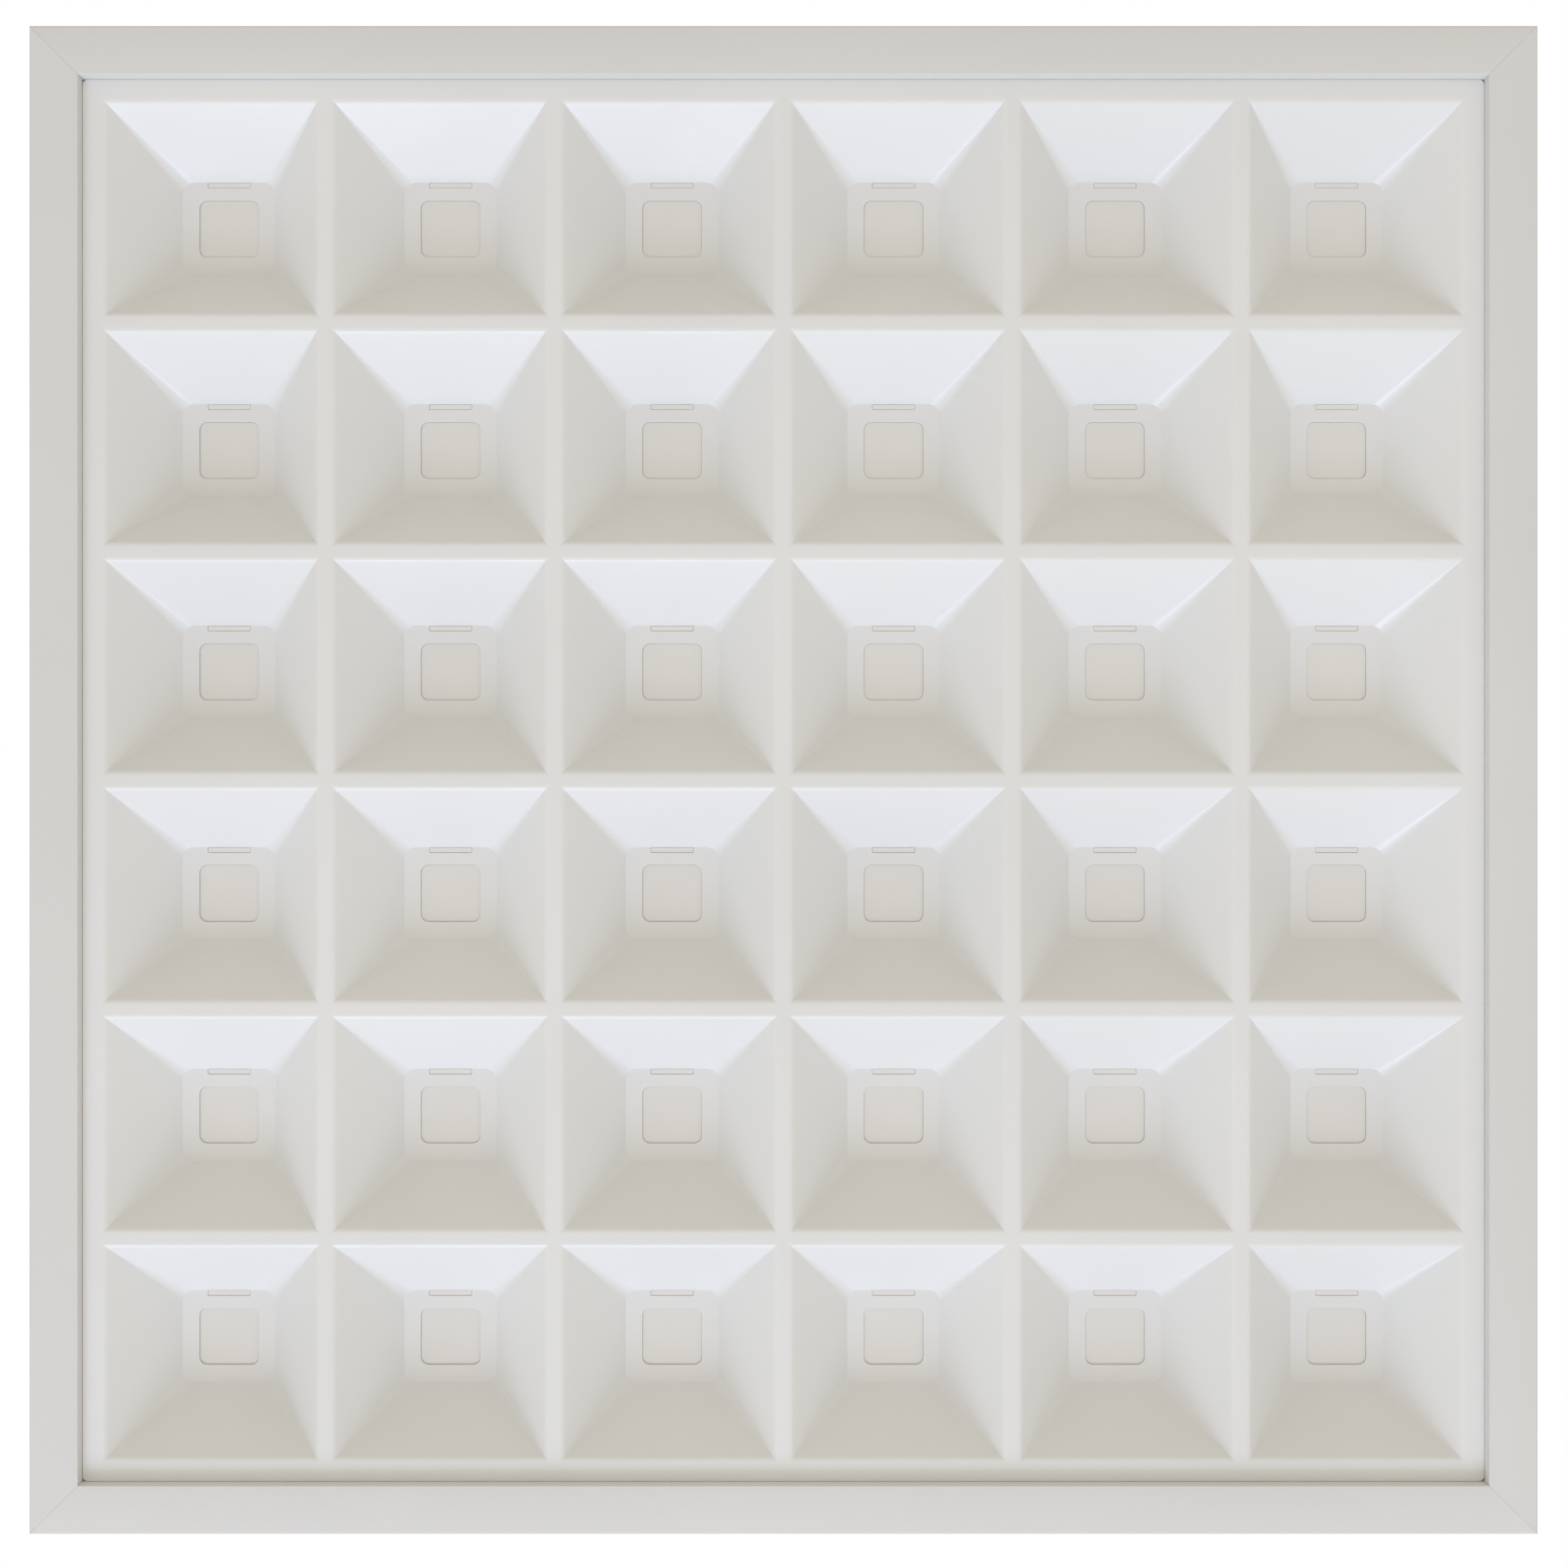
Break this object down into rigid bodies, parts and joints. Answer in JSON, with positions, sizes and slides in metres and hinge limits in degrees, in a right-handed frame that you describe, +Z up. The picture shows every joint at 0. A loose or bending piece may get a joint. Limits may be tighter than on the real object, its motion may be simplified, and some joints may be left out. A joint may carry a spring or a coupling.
{
  "type": "recessed troffer light",
  "caption": "Square recessed ceiling light with a flat trim, a grid of deep square reflector cups with small lenses, a steel back tray and a hinged driver box.",
  "frame": {"origin": "middle of the trim's room-side face", "axes": "+Z up into the ceiling void, +X towards the connectors' end of the boards, +Y towards the cable entry"},
  "size_m": [0.595, 0.595, 0.0764],
  "materials": {
    "trim_paint": "satin white powder coat",
    "reflector_white": "satin white moulding",
    "holder_white": "matt white moulding",
    "lens_opal": "opal translucent moulding",
    "board_white": "white solder mask",
    "led_phosphor": "yellow phosphor",
    "housing_steel": "white coated sheet steel",
    "plain_steel": "galvanised",
    "zinc_steel": "zinc plated",
    "spring_steel": "plated spring steel",
    "driver_case": "white lacquer",
    "connector_nylon": "natural nylon",
    "black_rubber": "matt black",
    "lead_brown": "brown insulation",
    "lead_blue": "blue insulation",
    "lead_green": "green and yellow insulation",
    "lead_red": "red insulation",
    "lead_black": "black insulation"
  },
  "bodies": {
    "fitting": {"trim_rail_front": "trim_paint", "trim_rail_right": "trim_paint", "trim_rail_back": "trim_paint", "trim_rail_left": "trim_paint", "corner_keys": "plain_steel", "corner_key_screws": "zinc_steel", "reflector_grid": "reflector_white", "lens_holder_1": "holder_white", "lens_strip_1": "lens_opal", "led_board_1": "board_white", "lens_holder_2": "holder_white", "lens_strip_2": "lens_opal", "led_board_2": "board_white", "lens_holder_3": "holder_white", "lens_strip_3": "lens_opal", "led_board_3": "board_white", "lens_holder_4": "holder_white", "lens_strip_4": "lens_opal", "led_board_4": "board_white", "lens_holder_5": "holder_white", "lens_strip_5": "lens_opal", "led_board_5": "board_white", "lens_holder_6": "holder_white", "lens_strip_6": "lens_opal", "led_board_6": "board_white", "led_packages": "led_phosphor", "board_screws": "zinc_steel", "board_connectors": "connector_nylon", "board_jumpers": "lead_red", "housing_tray": "housing_steel", "reflector_screws": "zinc_steel", "rim_screws": "zinc_steel", "driver_box": "housing_steel", "lid_hinge_pins": "zinc_steel", "led_driver": "driver_case", "driver_input_socket": "connector_nylon", "driver_output_socket": "connector_nylon", "driver_screws": "zinc_steel", "terminal_block": "connector_nylon", "terminal_screws": "zinc_steel", "live_lead": "lead_brown", "neutral_lead": "lead_blue", "earth_lead": "lead_green", "earth_screw": "zinc_steel", "entry_grommet": "black_rubber", "cable_clamp": "connector_nylon", "clamp_screws": "zinc_steel", "led_grommet": "black_rubber", "led_lead_plus": "lead_red", "led_lead_minus": "lead_black", "clip_rivets": "zinc_steel", "hanger_brackets": "plain_steel", "sheet_rivets": "zinc_steel"},
    "box_lid": {"driver_box_lid": "housing_steel", "lid_screw": "zinc_steel"},
    "clip_1": {"grid_clip_1": "spring_steel"},
    "clip_2": {"grid_clip_2": "spring_steel"},
    "clip_3": {"grid_clip_3": "spring_steel"},
    "clip_4": {"grid_clip_4": "spring_steel"}
  },
  "joints": [
    {"name": "lid_hinge", "type": "hinge", "parent": "fitting", "child": "box_lid", "pos_m": [-0.0496, 0, 0.0696], "axis": [0, -1, 0], "range_deg": [0, 105]},
    {"name": "clip_pivot_1", "type": "hinge", "parent": "fitting", "child": "clip_1", "pos_m": [-0.262, -0.19, 0.0389], "axis": [0, 0, 1], "range_deg": [0, 90]},
    {"name": "clip_pivot_2", "type": "hinge", "parent": "fitting", "child": "clip_2", "pos_m": [-0.262, 0.19, 0.0389], "axis": [0, 0, -1], "range_deg": [0, 90]},
    {"name": "clip_pivot_3", "type": "hinge", "parent": "fitting", "child": "clip_3", "pos_m": [0.262, -0.19, 0.0389], "axis": [0, 0, -1], "range_deg": [0, 90]},
    {"name": "clip_pivot_4", "type": "hinge", "parent": "fitting", "child": "clip_4", "pos_m": [0.262, 0.19, 0.0389], "axis": [0, 0, 1], "range_deg": [0, 90]}
  ]
}
